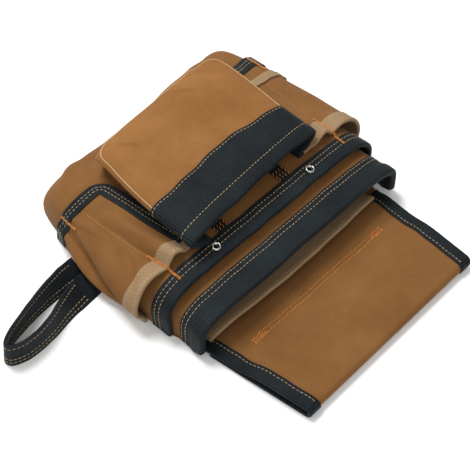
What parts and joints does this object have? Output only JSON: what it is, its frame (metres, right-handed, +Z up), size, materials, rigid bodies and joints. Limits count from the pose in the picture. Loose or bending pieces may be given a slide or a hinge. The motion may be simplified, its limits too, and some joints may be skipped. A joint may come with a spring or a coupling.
{
  "type": "nail pouch",
  "caption": "Carpenter's nail pouch of brown canvas with black webbing bindings, stacked pockets, tool slots, a hammer loop and a belt tunnel, lying flat on its back.",
  "frame": {"origin": "centre of the bounding box's footprint, on the surface the pouch lies on", "axes": "+Z up from the surface, -Y towards the belt tunnel's fold, +X across the pouch away from the hammer loop"},
  "size_m": [0.3946, 0.3492, 0.084],
  "materials": {
    "canvas": "matt woven",
    "webbing": "satin ribbed",
    "tape": "matt woven",
    "nickel": "polished"
  },
  "bodies": {
    "root": {"back_panel": "canvas", "main_pocket": "canvas", "middle_pocket": "canvas", "front_pocket": "canvas", "tool_slots_left": "canvas", "tool_slots_right": "canvas", "inner_pocket": "canvas", "flap_binding_left": "webbing", "flap_binding_right": "webbing", "main_mouth_band": "webbing", "middle_mouth_band": "webbing", "front_pocket_band": "webbing", "slot_binding_left": "webbing", "slot_binding_right": "webbing", "tab_left": "webbing", "tab_right": "webbing", "hammer_loop": "webbing", "slot_tape_left": "tape", "slot_tape_right": "tape", "inner_tape": "tape", "rivet_left": "nickel", "rivet_right": "nickel"}
  },
  "joints": []
}
